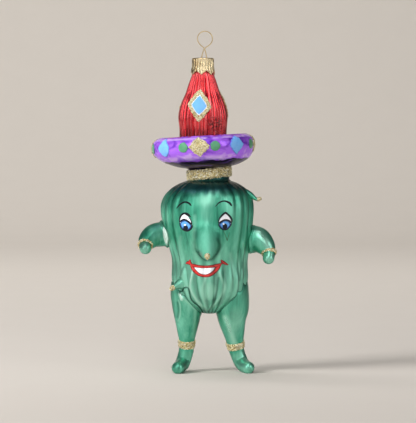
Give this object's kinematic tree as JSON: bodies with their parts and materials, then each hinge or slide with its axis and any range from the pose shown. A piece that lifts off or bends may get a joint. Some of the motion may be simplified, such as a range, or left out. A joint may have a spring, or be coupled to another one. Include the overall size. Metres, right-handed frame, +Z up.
{
  "type": "cactus ornament",
  "caption": "Blown-glass cactus figure ornament with painted face, upturned hat, glitter trim, fluted metal cap and wire hanging loop.",
  "frame": {"origin": "centre of the object's bounding box, on the floor under the feet", "axes": "+Z up, the figure faces -Y, +X is to the right of someone looking at its face"},
  "size_m": [0.0672, 0.0548, 0.1641],
  "materials": {
    "green_lacquer": "satin pearl green lacquer over silvered glass",
    "red_lacquer": "glossy transparent red lacquer over silvered glass",
    "purple_lacquer": "glossy purple lacquer over silvered glass",
    "navy_lacquer": "glossy blue-black lacquer under the brim",
    "gold_glitter": "coarse gold glitter set in clear glue",
    "blue_enamel": "satin sky-blue enamel",
    "green_enamel": "satin green enamel",
    "white_enamel": "satin white enamel",
    "black_enamel": "satin black enamel",
    "lip_enamel": "satin red enamel",
    "cap_metal": "bright gold-coloured stamped sheet, crimped and worn",
    "hanger_wire": "gold-coloured spring wire"
  },
  "bodies": {
    "glass": {"body_shell": "green_lacquer", "left_arm": "green_lacquer", "right_arm": "green_lacquer", "left_leg": "green_lacquer", "right_leg": "green_lacquer", "left_wrist_band": "gold_glitter", "right_wrist_band": "gold_glitter", "left_ankle_band": "gold_glitter", "right_ankle_band": "gold_glitter", "nose_tip_glitter": "gold_glitter", "head_thorn_glitter": "gold_glitter", "hip_thorn_glitter": "gold_glitter", "brim_shell": "purple_lacquer", "hat_band": "gold_glitter", "crown_shell": "red_lacquer", "crown_glitter_frame_1": "gold_glitter", "crown_glitter_frame_2": "gold_glitter", "crown_glitter_frame_3": "gold_glitter", "crown_blue_lozenge_1": "blue_enamel", "crown_blue_lozenge_2": "blue_enamel", "crown_blue_lozenge_3": "blue_enamel", "brim_glitter_lozenge_1": "gold_glitter", "brim_glitter_lozenge_2": "gold_glitter", "brim_glitter_lozenge_3": "gold_glitter", "brim_glitter_lozenge_4": "gold_glitter", "brim_blue_lozenge_1": "blue_enamel", "brim_blue_lozenge_2": "blue_enamel", "brim_blue_lozenge_3": "blue_enamel", "brim_blue_lozenge_4": "blue_enamel", "brim_left_dot_1": "green_enamel", "brim_left_dot_2": "green_enamel", "brim_left_dot_3": "green_enamel", "brim_left_dot_4": "green_enamel", "brim_right_dot_1": "green_enamel", "brim_right_dot_2": "green_enamel", "brim_right_dot_3": "green_enamel", "brim_right_dot_4": "green_enamel"},
    "cap": {"hanger_cap": "cap_metal"},
    "hanger": {"hanger_wire": "hanger_wire"}
  },
  "joints": [
    {"name": "cap_lift", "type": "slide", "parent": "glass", "child": "cap", "axis": [0, 0, 1], "range_m": [0, 0.015]},
    {"name": "hanger_tilt", "type": "hinge", "parent": "cap", "child": "hanger", "pos_m": [-0.00199, 0.00192, 0.1509], "axis": [1, 0, 0], "range_deg": [-8, 8]}
  ]
}
